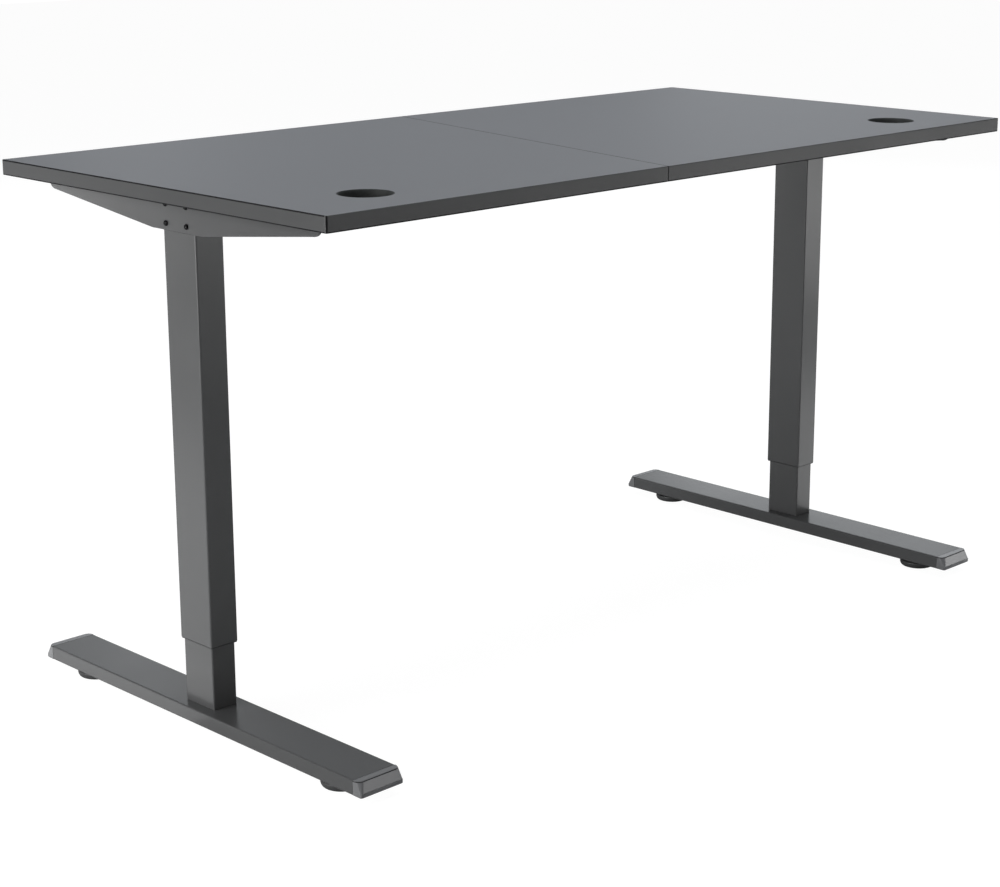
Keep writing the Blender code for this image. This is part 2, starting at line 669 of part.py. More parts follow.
def foot_bolt_mesh():
    """The bolt that holds a foot to its column, head downwards once it is turned over."""
    return bolt_mesh(FOOT_WALL + FOOT_BOLT_LENGTH, BOLT)


def cap_outline(length, radius, inset, steps=4):
    """A cap seen from above: straight across the joint, with two round corners at the nose."""
    half = FOOT_WIDTH / 2 - inset
    nose = length - inset
    turns = [step / steps * math.pi / 2 for step in range(steps + 1)]
    right = [
        (half - radius * (1 - math.cos(turn)), nose - radius * (1 - math.sin(turn)))
        for turn in turns
    ]
    left = [(-x, y) for x, y in reversed(right)]
    return [(-half, GAP), (half, GAP)] + right + left


def make_cap(side, end, way, x, base, plastic):
    """A moulded end cap: upright lip, leaning nose, flat top, and a plug inside the beam."""
    levels = (
        (FOOT_BOTTOM, CAP_LIP_LENGTH, CAP_LIP_RADIUS, CAP_EDGE),
        (FOOT_BOTTOM + CAP_EDGE, CAP_LIP_LENGTH, CAP_LIP_RADIUS, 0.0),
        (FOOT_BOTTOM + CAP_LIP_HEIGHT, CAP_LIP_LENGTH, CAP_LIP_RADIUS, 0.0),
        (FOOT_BOTTOM + CAP_LIP_HEIGHT + CAP_LEDGE, CAP_LIP_LENGTH, CAP_TOP_RADIUS, CAP_LEDGE),
        (FOOT_TOP - CAP_EDGE, CAP_TOP_LENGTH, CAP_TOP_RADIUS, 0.0),
        (FOOT_TOP, CAP_TOP_LENGTH, CAP_TOP_RADIUS, CAP_EDGE),
    )
    bm = bmesh.new()
    loft(bm, [
        [Vector((a, way * b, z)) for a, b in cap_outline(length, radius, inset)]
        for z, length, radius, inset in levels
    ])
    cap = make_object(
        f"{side}_{end}_foot_cap", bm, plastic, base, (x, way * FOOT_LENGTH / 2, 0))

    inset = FOOT_WALL + GAP
    plug = bmesh.new()
    outline = rounded_rectangle(
        FOOT_WIDTH - 2 * inset, FOOT_HEIGHT - 2 * inset, FOOT_CORNER_RADIUS / 2)
    centre = (FOOT_TOP + FOOT_BOTTOM) / 2
    loft(plug, [
        [Vector((a, way * along, centre + b)) for a, b in outline]
        for along in (-CAP_PLUG_LENGTH, CAP_PLUG_OVERLAP)
    ])
    apply_tool(cap, f"{side}_{end}_cap_plug", plug, "UNION")


def make_pad(side, end, way, x, base, plastic):
    """A levelling pad with its stud: the stud screws into the foot's lower wall."""
    stud_top = FOOT_TOP - FOOT_WALL - STUD_TOP_CLEARANCE
    edge = 0.0012
    bm = bmesh.new()
    loft(bm, [
        at_height(circle(PAD_RADIUS - edge, 24), 0.0),
        at_height(circle(PAD_RADIUS, 24), edge),
        at_height(circle(PAD_RADIUS, 24), PAD_HEIGHT - 2 * edge),
        at_height(circle(PAD_RADIUS - 2 * edge, 24), PAD_HEIGHT),
        at_height(circle(STUD_RADIUS, 24), PAD_HEIGHT),
        at_height(circle(STUD_RADIUS, 24), stud_top),
    ])
    y = way * (FOOT_LENGTH / 2 - PAD_FROM_BEAM_END)
    make_object(f"{side}_{end}_levelling_pad", bm, plastic, base, (x, y, 0), smooth=True)


# ---------------------------------------------------------------- controls
def make_controls(lifting, plastic, black, button_paint, glass):
    """The control box behind the rails and the handset with its buttons at the front edge."""
    size_x, size_y, size_z = CONTROL_BOX_SIZE
    y_low = RAIL_Y + RAIL_WIDTH / 2 + CONTROL_BOX_FROM_RAIL
    outline = rounded_rectangle(size_x, size_y, 0.004)
    bm = bmesh.new()
    plate(bm, outline, [], -size_z, 0.0)
    place = (CONTROL_BOX_X, y_low + size_y / 2, FLANGE_TOP)
    control_box = make_object("control_box", bm, plastic, lifting, place)
    socket = bmesh.new()
    half = SOCKET_SIZE[0] / 2
    end_x = size_x / 2
    box(
        socket, (end_x - SOCKET_DEPTH, -half, -size_z / 2 - SOCKET_SIZE[1] / 2),
        (end_x + 0.01, half, -size_z / 2 + SOCKET_SIZE[1] / 2),
    )
    apply_tool(control_box, "power_inlet", socket, "DIFFERENCE")

    size_x, size_y, size_z = HANDSET_SIZE
    front_y = TOP_WIDTH / 2 - HANDSET_FROM_FRONT
    x = TOP_LENGTH / 2 - HANDSET_FROM_END
    place = (x, front_y, FLANGE_TOP - size_z / 2)
    bm = bmesh.new()
    plate(bm, [(a, b - size_y / 2) for a, b in rounded_rectangle(size_x, size_y, 0.005)], [],
          -size_z / 2, size_z / 2)
    handset = make_object("handset_case", bm, plastic, lifting, place)

    pockets = bmesh.new()
    half_x = BUTTON_SIZE[0] / 2 + BUTTON_SIDE_CLEARANCE
    half_z = BUTTON_SIZE[2] / 2 + BUTTON_SIDE_CLEARANCE
    depth = BUTTON_SIZE[1] - BUTTON_PROUD + BUTTON_BACK_CLEARANCE
    first = -size_x / 2 + 0.016
    names = ("up_button", "down_button", "memory_button")
    for number in range(len(names)):
        centre = first + number * BUTTON_PITCH
        box(pockets, (centre - half_x, -depth, -half_z), (centre + half_x, 0.01, half_z))
    window = size_x / 2 - 0.012 - DISPLAY_SIZE[0] / 2
    reach_x = DISPLAY_SIZE[0] / 2 + GAP
    reach_z = DISPLAY_SIZE[2] / 2 + GAP
    recess = DISPLAY_SIZE[1] + GAP
    box(pockets, (window - reach_x, -recess, -reach_z), (window + reach_x, 0.01, reach_z))
    apply_tool(handset, "handset_pockets", pockets, "DIFFERENCE")

    for number, name in enumerate(names):
        bm = bmesh.new()
        width, length, height = BUTTON_SIZE
        back = rounded_rectangle(width, height, 0.0015)
        face = rounded_rectangle(width - 0.0012, height - 0.0012, 0.0015)
        loft(bm, [
            along_y(back, BUTTON_PROUD - length), along_y(back, BUTTON_PROUD - 0.0005),
            along_y(face, BUTTON_PROUD),
        ])
        centre = (x + first + number * BUTTON_PITCH, front_y, place[2])
        make_object(name, bm, button_paint, lifting, centre)

    bm = bmesh.new()
    box(
        bm, (-DISPLAY_SIZE[0] / 2, -DISPLAY_SIZE[1], -DISPLAY_SIZE[2] / 2),
        (DISPLAY_SIZE[0] / 2, 0.0, DISPLAY_SIZE[2] / 2),
    )
    make_object("handset_display", bm, glass, lifting, (x + window, front_y, place[2]))


# ---------------------------------------------------------------- the desk
def build_desk():
    """Make both groups and every piece in them."""
    clear_scene()
    board = make_material("board_laminate", (0.215, 0.218, 0.225), 0.55, 0.0)
    paint = make_material("frame_paint", (0.155, 0.157, 0.160), 0.42, 0.0)
    cap_plastic = make_material("foot_cap_plastic", (0.200, 0.200, 0.200), 0.45, 0.0)
    plastic = make_material("black_plastic", (0.020, 0.021, 0.021), 0.50, 0.0)
    guide = make_material("guide_plastic", (0.600, 0.600, 0.580), 0.45, 0.0)
    black = make_material("black_bolts", (0.015, 0.015, 0.016), 0.40, 0.6)
    steel = make_material("bright_steel", (0.560, 0.560, 0.570), 0.30, 1.0)
    brass = make_material("nut_brass", (0.720, 0.520, 0.230), 0.32, 1.0)
    casting = make_material("head_casting", (0.420, 0.425, 0.430), 0.45, 1.0)
    motor_paint = make_material("motor_paint", (0.030, 0.030, 0.032), 0.40, 0.2)
    button_paint = make_material("button_plastic", (0.080, 0.080, 0.084), 0.50, 0.0)
    glass = make_material("display_window", (0.010, 0.010, 0.012), 0.12, 0.0)

    base = make_group("base_group")
    lifting = make_group("lifting_group")
    make_top(lifting, board, plastic, steel)
    make_rails(lifting, paint)
    for side, sign in SIDES:
        make_arm(side, sign, lifting, paint, black)
        make_head(side, sign, lifting, casting, black)
        make_motor(side, sign, lifting, motor_paint)
        make_column(side, sign, lifting, base, paint, guide, steel, brass)
        make_foot(side, sign, base, paint, cap_plastic, black)
    make_controls(lifting, plastic, black, button_paint, glass)


build_desk()
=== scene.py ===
import math

import bmesh
import bpy
import numpy as np
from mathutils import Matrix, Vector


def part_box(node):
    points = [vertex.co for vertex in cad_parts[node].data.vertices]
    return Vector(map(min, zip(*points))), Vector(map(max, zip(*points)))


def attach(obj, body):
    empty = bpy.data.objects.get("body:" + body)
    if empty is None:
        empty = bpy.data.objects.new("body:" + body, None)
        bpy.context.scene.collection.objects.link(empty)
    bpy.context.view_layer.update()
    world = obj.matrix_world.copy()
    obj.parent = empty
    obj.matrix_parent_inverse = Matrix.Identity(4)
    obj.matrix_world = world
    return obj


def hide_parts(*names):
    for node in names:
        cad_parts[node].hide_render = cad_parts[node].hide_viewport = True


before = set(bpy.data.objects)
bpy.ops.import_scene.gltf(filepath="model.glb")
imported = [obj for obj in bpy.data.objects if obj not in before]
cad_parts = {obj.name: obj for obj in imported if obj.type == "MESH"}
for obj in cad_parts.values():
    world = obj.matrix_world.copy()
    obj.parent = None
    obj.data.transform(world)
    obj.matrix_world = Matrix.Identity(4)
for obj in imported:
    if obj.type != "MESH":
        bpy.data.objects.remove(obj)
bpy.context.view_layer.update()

# Studio. A dim white room with a pale floor, a large soft light overhead, softboxes round
# the desk and panels that stand for the bright floor beside the feet; the camera stands in
# front of the left corner at eye height.
camera_data = bpy.data.cameras.new("studio_camera")
camera_data.sensor_width = 36.0
camera_data.lens = 77.50
camera_data.shift_x = -0.0364
camera_data.shift_y = -0.0337
camera = bpy.data.objects.new("studio_camera", camera_data)
bpy.context.scene.collection.objects.link(camera)
camera.location = (-2.2841, -2.2723, 1.1528)
camera.rotation_euler = (math.pi / 2 - 0.24866, 0.0, -0.78749)
bpy.context.scene.camera = camera
bpy.context.scene.view_settings.view_transform = "Standard"


def soft_light(name, place, target, width, height, watts, tint):
    """A rectangular area light at a place, turned so that its face looks at a target."""
    data = bpy.data.lights.new(name, "AREA")
    data.shape = "RECTANGLE"
    data.size, data.size_y = width, height
    data.energy = watts
    data.color = tint
    light = bpy.data.objects.new(name, data)
    bpy.context.scene.collection.objects.link(light)
    light.location = place
    light.visible_camera = False
    towards = np.array(target, float) - np.array(place, float)
    flat = math.hypot(towards[0], towards[1])
    light.rotation_euler = (math.atan2(flat, -towards[2]), 0.0, math.atan2(-towards[0], towards[1]))


WHITE = (1.0, 1.0, 1.0)
COOL = (0.94, 0.97, 1.0)
# name, place, what it looks at, width, height, watts, tint
LIGHTS = (
    ("left_softbox", (-2.8, 0.3, 0.9), (-0.6, 0.0, 0.4), 1.6, 1.6, 50.0, WHITE),
    ("left_foot_fill", (-1.4, 1.9, 0.35), (-0.66, 0.3, 0.1), 0.6, 0.5, 2.2, WHITE),
    ("left_floor_panel", (-1.15, 0.75, 0.004), (-1.15, 0.75, 1.0), 0.75, 1.3, 1.6, WHITE),
    ("left_floor_strip", (-0.74, 0.22, 0.004), (-0.74, 0.22, 1.0), 0.12, 0.40, 0.09, WHITE),
    ("front_softbox", (1.5, -3.2, 0.5), (0.0, 0.0, 0.3), 1.2, 0.9, 8.0, WHITE),
    ("front_right_softbox", (2.3, -2.2, 0.3), (0.635, 0.0, 0.3), 1.2, 0.5, 3.8, WHITE),
    ("front_right_strip", (2.6, -1.5, 0.25), (0.635, 0.0, 0.3), 1.2, 0.5, 3.7, WHITE),
    ("right_floor_panel", (1.15, -0.62, 0.004), (1.15, -0.62, 1.0), 0.9, 1.15, 3.8, WHITE),
    ("overhead_softbox", (0.3, 0.2, 3.2), (0.3, 0.2, 0.0), 3.0, 3.0, 101.0, COOL),
    ("back_strip", (0.2, 4.6, 1.9), (0.0, 0.0, 0.5), 5.0, 1.4, 13.1, COOL),
    ("back_right_softbox", (3.4, 3.4, 1.5), (0.0, 0.0, 0.5), 3.5, 2.0, 12.1, COOL),
    ("right_softbox", (5.0, 2.0, 1.4), (0.0, 0.0, 0.4), 3.5, 1.8, 12.7, COOL),
)
for light in LIGHTS:
    soft_light(*light)

# the room's dim light; the camera itself sees it as white
ROOM = 0.02
ROOM_SEEN = 1.05
world = bpy.data.worlds.new("white_room")
world.use_nodes = True
bpy.context.scene.world = world
room = world.node_tree
room_light = room.nodes["Background"]
room_light.inputs["Color"].default_value = (1.0, 1.0, 1.0, 1.0)
room_light.inputs["Strength"].default_value = ROOM
seen = room.nodes.new("ShaderNodeBackground")
seen.inputs["Color"].default_value = (1.0, 1.0, 1.0, 1.0)
seen.inputs["Strength"].default_value = ROOM_SEEN
ray = room.nodes.new("ShaderNodeLightPath")
choose = room.nodes.new("ShaderNodeMixShader")
room.links.new(ray.outputs["Is Camera Ray"], choose.inputs[0])
room.links.new(room_light.outputs[0], choose.inputs[1])
room.links.new(seen.outputs[0], choose.inputs[2])
room.links.new(choose.outputs[0], room.nodes["World Output"].inputs["Surface"])

# the floor that the desk mirrors is grey and lit; the floor the camera sees is nearly white
FLOOR_COLOUR = (0.60, 0.60, 0.60, 1.0)
FLOOR_SEEN_COLOUR = (0.12, 0.12, 0.12, 1.0)
FLOOR_SEEN_GLOW = 0.97
FLOOR_HALF = 14.0
floor_mesh = bpy.data.meshes.new("studio_floor")
floor_mesh.from_pydata(
    [(-FLOOR_HALF, -FLOOR_HALF, 0.0), (FLOOR_HALF, -FLOOR_HALF, 0.0),
     (FLOOR_HALF, FLOOR_HALF, 0.0), (-FLOOR_HALF, FLOOR_HALF, 0.0)],
    [], [(0, 1, 2, 3)])
floor = bpy.data.objects.new("studio_floor", floor_mesh)
bpy.context.scene.collection.objects.link(floor)
floor_paint = bpy.data.materials.new("studio_floor_white")
floor_paint.use_nodes = True
paint_tree = floor_paint.node_tree
lit_floor = paint_tree.nodes["Principled BSDF"]
lit_floor.inputs["Base Color"].default_value = FLOOR_COLOUR
lit_floor.inputs["Roughness"].default_value = 1.0
lit_floor.inputs["Specular IOR Level"].default_value = 0.0
pale_floor = paint_tree.nodes.new("ShaderNodeBsdfPrincipled")
pale_floor.inputs["Base Color"].default_value = FLOOR_SEEN_COLOUR
pale_floor.inputs["Roughness"].default_value = 1.0
pale_floor.inputs["Specular IOR Level"].default_value = 0.0
pale_floor.inputs["Emission Color"].default_value = (1.0, 1.0, 1.0, 1.0)
pale_floor.inputs["Emission Strength"].default_value = FLOOR_SEEN_GLOW
first_ray = paint_tree.nodes.new("ShaderNodeLightPath")
floor_mix = paint_tree.nodes.new("ShaderNodeMixShader")
paint_tree.links.new(first_ray.outputs["Is Camera Ray"], floor_mix.inputs[0])
paint_tree.links.new(lit_floor.outputs[0], floor_mix.inputs[1])
paint_tree.links.new(pale_floor.outputs[0], floor_mix.inputs[2])
paint_tree.links.new(floor_mix.outputs[0], paint_tree.nodes["Material Output"].inputs["Surface"])
floor_mesh.materials.append(floor_paint)


# Feet. Each is a welded rectangular steel tube with small rolled corners, powder coated
# in satin grey, drilled below for the pads and for the tool that reaches the column bolts.
SIDES = (("left", -1.0), ("right", 1.0))
ENDS = (("back", -1.0), ("front", 1.0))
PAINT_COLOUR = (0.092, 0.093, 0.094)
PAINT_ROUGHNESS = 0.25
FOOT_WALL = 0.0020
FOOT_CORNER = 0.0020
FOOT_EDGE = 0.0004
STUD_HOLE = 0.0043
TOOL_HOLE = 0.0075
BOLT_HOLE = 0.0033
BOLT_FROM_MIDDLE = 0.0180
DRILL_OUT = 0.0100
DRILL_IN = 0.0050


def arc_corners(size_a, size_b, radius, steps):
    """Rounded rectangle about zero as an (n, 2) array: for each quarter turn the corner's
    centre plus radius times (cos, sin) of the angle; a radius below zero is taken as zero."""
    quarter = np.repeat(np.arange(4), steps + 1)
    angle = (quarter + np.tile(np.arange(steps + 1) / steps, 4)) * math.pi / 2
    sign_a = np.array((1, -1, -1, 1))[quarter]
    sign_b = np.array((1, 1, -1, -1))[quarter]
    radius = max(radius, 1e-6)
    a = sign_a * (size_a / 2 - radius) + radius * np.cos(angle)
    b = sign_b * (size_b / 2 - radius) + radius * np.sin(angle)
    return np.stack((a, b), axis=1)


def skin(name, rings, closed=False, bands=None):
    """Skin a stack of rings, an array of (ring, point, 3): quad faces join point i and i+1 of
    ring k to those of ring k+1, round the ring; the stack closes on itself or gets two end
    caps. bands gives a material number for each gap between rings, or for each of its faces."""
    rings = np.asarray(rings, float)
    count, points = rings.shape[:2]
    index = np.arange(count * points).reshape(count, points)
    lower = index if closed else index[:-1]
    upper = np.roll(index, -1, axis=0) if closed else index[1:]
    quads = np.stack(
        (lower, np.roll(lower, -1, axis=1), np.roll(upper, -1, axis=1), upper), axis=-1)
    faces = quads.reshape(-1, 4).tolist()
    if not closed:
        faces += [index[0][::-1].tolist(), index[-1].tolist()]
    mesh = bpy.data.meshes.new(name)
    mesh.from_pydata(rings.reshape(-1, 3).tolist(), [], faces)
    if bands is not None:
        bands = np.asarray(bands)
        numbers = np.broadcast_to(bands.reshape(len(bands), -1), (len(bands), points)).ravel()
        numbers = np.concatenate((numbers, np.zeros(len(faces) - len(numbers), int)))
        mesh.polygons.foreach_set("material_index", numbers.astype(np.int32))
    return mesh


def add_piece(name, mesh, body, materials, stands_for=(), sharp=32.0):
    work = bmesh.new()
    work.from_mesh(mesh)
    bmesh.ops.remove_doubles(work, verts=work.verts, dist=1e-7)
    bmesh.ops.recalc_face_normals(work, faces=work.faces)
    work.to_mesh(mesh)
    work.free()
    mesh.shade_smooth()
    mesh.set_sharp_from_angle(angle=math.radians(sharp))
    for material in materials:
        mesh.materials.append(material)
    piece = bpy.data.objects.new(name, mesh)
    bpy.context.scene.collection.objects.link(piece)
    weighted = piece.modifiers.new("face_weighted", "WEIGHTED_NORMAL")
    weighted.keep_sharp = True
    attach(piece, body)
    if stands_for:
        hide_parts(*stands_for)
    return piece


def coated(name, colour, roughness, metallic=0.0, grain=1400.0, relief=0.00004,
           spread=0.06, coat=0.0, stretch=(1.0, 1.0, 1.0), wander=0.02, specular=0.5):
    """A finish on Object coordinates: fine grain gives the bump, a mix of it and a slow noise
    changes the colour by spread each way, and the slow noise alone moves the roughness by
    wander each way."""
    material = bpy.data.materials.new(name)
    material.use_nodes = True
    tree = material.node_tree
    shader = tree.nodes["Principled BSDF"]
    place = tree.nodes.new("ShaderNodeTexCoord")
    mapping = tree.nodes.new("ShaderNodeMapping")
    mapping.inputs["Scale"].default_value = stretch
    tree.links.new(place.outputs["Object"], mapping.inputs["Vector"])
    fine = tree.nodes.new("ShaderNodeTexNoise")
    fine.inputs["Scale"].default_value = grain
    fine.inputs["Detail"].default_value = 3.0
    slow = tree.nodes.new("ShaderNodeTexNoise")
    slow.inputs["Scale"].default_value = 7.0
    slow.inputs["Detail"].default_value = 2.0
    tree.links.new(mapping.outputs["Vector"], fine.inputs["Vector"])
    tree.links.new(place.outputs["Object"], slow.inputs["Vector"])
    blend = tree.nodes.new("ShaderNodeMix")
    blend.data_type = "FLOAT"
    blend.inputs[0].default_value = 0.65
    tree.links.new(fine.outputs["Fac"], blend.inputs[2])
    tree.links.new(slow.outputs["Fac"], blend.inputs[3])
    ramp = tree.nodes.new("ShaderNodeValToRGB")
    ramp.color_ramp.elements[0].position = 0.25
    ramp.color_ramp.elements[1].position = 0.75
    ramp.color_ramp.elements[0].color = tuple(c * (1 - spread) for c in colour) + (1.0,)
    ramp.color_ramp.elements[1].color = tuple(c * (1 + spread) for c in colour) + (1.0,)
    tree.links.new(blend.outputs[0], ramp.inputs["Fac"])
    tree.links.new(ramp.outputs["Color"], shader.inputs["Base Color"])
    sheen = tree.nodes.new("ShaderNodeMapRange")
    sheen.inputs["From Min"].default_value = 0.3
    sheen.inputs["From Max"].default_value = 0.7
    sheen.inputs["To Min"].default_value = roughness - wander
    sheen.inputs["To Max"].default_value = roughness + wander
    tree.links.new(slow.outputs["Fac"], sheen.inputs["Value"])
    tree.links.new(sheen.outputs["Result"], shader.inputs["Roughness"])
    bump = tree.nodes.new("ShaderNodeBump")
    bump.inputs["Strength"].default_value = 0.5
    bump.inputs["Distance"].default_value = relief
    tree.links.new(fine.outputs["Fac"], bump.inputs["Height"])
    tree.links.new(bump.outputs["Normal"], shader.inputs["Normal"])
    shader.inputs["Metallic"].default_value = metallic
    shader.inputs["Coat Weight"].default_value = coat
    shader.inputs["Specular IOR Level"].default_value = specular
    return material


def drill(mesh, name, holes):
    """Cut round holes from a mesh: each hole is (radius, start, end), a 32-sided cylinder
    from start to end; the cutters are joined, used once and removed."""
    base = bpy.data.objects.new(name + "_blank", mesh)
    bpy.context.scene.collection.objects.link(base)
    tools = []
    for number, (radius, start, end) in enumerate(holes):
        start, end = np.array(start, float), np.array(end, float)
        along = (end - start) / np.linalg.norm(end - start)
        across = np.cross(along, (0.0, 1.0, 0.0) if abs(along[1]) < 0.9 else (1.0, 0.0, 0.0))
        across /= np.linalg.norm(across)
        other = np.cross(along, across)
        turn = np.linspace(0, 2 * math.pi, 32, endpoint=False)[:, None]
        ring = radius * (np.cos(turn) * across + np.sin(turn) * other)
        tool_mesh = skin(f"{name}_tool_{number}", [start + ring, end + ring])
        work = bmesh.new()
        work.from_mesh(tool_mesh)
        bmesh.ops.recalc_face_normals(work, faces=work.faces)
        work.to_mesh(tool_mesh)
        work.free()
        tool = bpy.data.objects.new(f"{name}_tool_{number}", tool_mesh)
        bpy.context.scene.collection.objects.link(tool)
        cut = base.modifiers.new("hole", "BOOLEAN")
        cut.operation = "DIFFERENCE"
        cut.solver = "EXACT"
        cut.object = tool
        tools.append(tool)
    bpy.context.view_layer.update()
    drilled = bpy.data.meshes.new_from_object(
        base.evaluated_get(bpy.context.evaluated_depsgraph_get()))
    for tool in tools + [base]:
        bpy.data.objects.remove(tool, do_unlink=True)
    drilled.name = name
    return drilled


frame_paint = coated("frame_paint", PAINT_COLOUR, PAINT_ROUGHNESS)

for side, sign in SIDES:
    low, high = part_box(side + "_foot_beam")
    width, height = high.x - low.x, high.z - low.z
    centre = np.array(((low.x + high.x) / 2, 0.0, (low.z + high.z) / 2))
    # along the outside, over one cut end, back along the inside and over the other
    stations = (
        (low.y, -FOOT_EDGE), (low.y + FOOT_EDGE, 0.0),
        (high.y - FOOT_EDGE, 0.0), (high.y, -FOOT_EDGE),
        (high.y, FOOT_EDGE - FOOT_WALL), (high.y - FOOT_EDGE, -FOOT_WALL),
        (low.y + FOOT_EDGE, -FOOT_WALL), (low.y, FOOT_EDGE - FOOT_WALL),
    )
    rings = []
    for y, grow in stations:
        outline = arc_corners(width + 2 * grow, height + 2 * grow, FOOT_CORNER + grow, 8)
        ring = np.stack((outline[:, 0], np.full(len(outline), y), outline[:, 1]), axis=1)
        rings.append(ring + centre)
    beam = skin(side + "_foot_beam_steel", rings, closed=True)
    lower = (low.z - DRILL_OUT, low.z + DRILL_IN)
    upper = (high.z - DRILL_IN, high.z + DRILL_OUT)
    holes = []
    for end, way in ENDS:
        pad_low, pad_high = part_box(f"{side}_{end}_levelling_pad")
        pad_y = (pad_low.y + pad_high.y) / 2
        bolt_y = way * BOLT_FROM_MIDDLE
        for radius, y, span in (
                (STUD_HOLE, pad_y, lower), (TOOL_HOLE, bolt_y, lower), (BOLT_HOLE, bolt_y, upper)):
            holes.append((radius, (centre[0], y, span[0]), (centre[0], y, span[1])))
    beam = drill(beam, side + "_foot_beam_steel", holes)
    add_piece(side + "_foot_beam_steel", beam, "base", [frame_paint],
              [side + "_foot_beam"])


# Foot end caps. Moulded grey plastic pushed into the ends of the feet: an upright lip below,
# a nose that leans back above it to a fine shadow groove under the flat top, and a plug. The
# joint's face, the groove and the lip's underside carry painted shade.
CAP_COLOUR = (0.200, 0.202, 0.207)
CAP_LIP_HEIGHT = 0.0062
CAP_LIP_CORNER = 0.0030
CAP_TOP_LENGTH = 0.0108
CAP_TOP_CORNER = 0.0090
CAP_GROOVE = 0.0011
CAP_JOINT = 0.0003
CAP_PLUG_LENGTH = 0.0220
CAP_PLUG_PLAY = 0.0003
cap_plastic = coated("foot_cap_plastic", CAP_COLOUR, 0.20, grain=2200.0, relief=0.00002)
# near-black painted shade for the cap's joint face, groove and lip underside
painted_shade_plastic = coated("foot_cap_painted_shade", (0.012, 0.012, 0.013), 0.6, grain=2200.0)


def nose_outline(half, length, radius, inset, steps=10):
    """A cap seen from above: straight across the joint and round at two corners, where x is
    half - r (1 - cos t) and y is length - r (1 - sin t), all brought in by inset."""
    turn = np.linspace(0, math.pi / 2, steps + 1)
    across = half - inset - radius * (1 - np.cos(turn))
    along = length - inset - radius * (1 - np.sin(turn))
    back = np.linspace(inset - half, half - inset, 8)
    x = np.concatenate((back, across, -across[::-1]))
    y = np.concatenate((np.full(8, CAP_JOINT), along, along[::-1]))
    return np.stack((x, y), axis=1)


def united(mesh, other, name):
    """One mesh from two closed ones that overlap."""
    pair = []
    for number, part in enumerate((mesh, other)):
        work = bmesh.new()
        work.from_mesh(part)
        bmesh.ops.recalc_face_normals(work, faces=work.faces)
        work.to_mesh(part)
        work.free()
        pair.append(bpy.data.objects.new(f"{name}_half_{number}", part))
        bpy.context.scene.collection.objects.link(pair[-1])
    join = pair[0].modifiers.new("join", "BOOLEAN")
    join.operation = "UNION"
    join.solver = "EXACT"
    join.object = pair[1]
    bpy.context.view_layer.update()
    whole = bpy.data.meshes.new_from_object(
        pair[0].evaluated_get(bpy.context.evaluated_depsgraph_get()))
    for half in pair:
        bpy.data.objects.remove(half, do_unlink=True)
    whole.name = name
    return whole


for side, sign in SIDES:
    for end, way in ENDS:
        node = f"{side}_{end}_foot_cap"
        low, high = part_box(node)
        beam_low, beam_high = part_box(side + "_foot_beam")
        centre_x = (low.x + high.x) / 2
        half = (beam_high.x - beam_low.x) / 2
        joint_y = beam_high.y
        bottom, top = beam_low.z, beam_high.z
        nose = max(high.y, -low.y) - joint_y
        lip = bottom + CAP_LIP_HEIGHT
        lean = (nose - CAP_TOP_LENGTH) / (top - lip)
        groove = top - CAP_GROOVE
        groove_length = CAP_TOP_LENGTH + CAP_GROOVE * lean
        # height, length beyond the beam, corner radius, inset
        profile = (
            (bottom, nose, CAP_LIP_CORNER, 0.0014), (bottom + 0.0003, nose, CAP_LIP_CORNER, 0.0006),
            (bottom + 0.0012, nose, CAP_LIP_CORNER, 0.0), (lip - 0.0004, nose, CAP_LIP_CORNER, 0.0),
            (lip, nose, 0.0034, 0.0002), (lip + 0.0003, nose - 0.0003 * lean, 0.0044, 0.0),
            (groove - 0.0003, groove_length + 0.0003 * lean, CAP_TOP_CORNER, 0.0),
            (groove, groove_length, CAP_TOP_CORNER, 0.0003),
            (groove + 0.0001, groove_length, CAP_TOP_CORNER, 0.0009),
            (top - 0.0005, CAP_TOP_LENGTH, CAP_TOP_CORNER, 0.0007),
            (top - 0.0004, CAP_TOP_LENGTH, CAP_TOP_CORNER, 0.0001),
            (top - 0.0001, CAP_TOP_LENGTH, CAP_TOP_CORNER, 0.0003),
            (top, CAP_TOP_LENGTH, CAP_TOP_CORNER, 0.0008),
        )
        rings = []
        for z, length, radius, inset in profile:
            outline = nose_outline(half, length, radius, inset)
            rings.append(np.stack((
                outline[:, 0] + centre_x, way * (joint_y + outline[:, 1]),
                np.full(len(outline), z)), axis=1))
        inset = FOOT_WALL + CAP_PLUG_PLAY
        plug_rings = []
        for along, grow in (
                (-CAP_PLUG_LENGTH, -0.0008), (0.0010 - CAP_PLUG_LENGTH, 0.0), (0.0020, 0.0)):
            outline = arc_corners(
                2 * (half - inset + grow), top - bottom - 2 * (inset - grow), 0.0010, 6)
            plug_rings.append(np.stack((
                outline[:, 0] + centre_x, np.full(len(outline), way * (joint_y + along)),
                outline[:, 1] + (bottom + top) / 2), axis=1))
        cap = united(skin(node + "_nose", rings), skin(node + "_plug", plug_rings), node + "_moulding")
        # painted shade: the joint's face, the groove and the lip's underside take the near-black material
        middle = np.zeros(3 * len(cap.polygons))
        cap.polygons.foreach_get("center", middle)
        reach = way * middle[1::3] - joint_y
        level = middle[2::3]
        shaded = (reach > 0.0) & (reach < 0.0005)
        shaded |= (level > groove - 0.0002) & (level < top - 0.0006) & (reach > 0.0)
        shaded |= (level < bottom + 0.0011) & (reach > 0.0)
        cap.polygons.foreach_set("material_index", shaded.astype(np.int32))
        add_piece(node + "_moulding", cap, "base", [cap_plastic, painted_shade_plastic],
                  [node], sharp=24.0)


# Levelling pads. A dark grey moulded disc with a steel stud that screws into the foot; the disc
# has a rounded rim, a shallow step and a round boss for the fingers.
pad_plastic = coated("pad_plastic", (0.070, 0.071, 0.072), 0.36, grain=1600.0, relief=0.00003)
stud_steel = coated("stud_steel", (0.50, 0.50, 0.51), 0.32, metallic=1.0, spread=0.05)


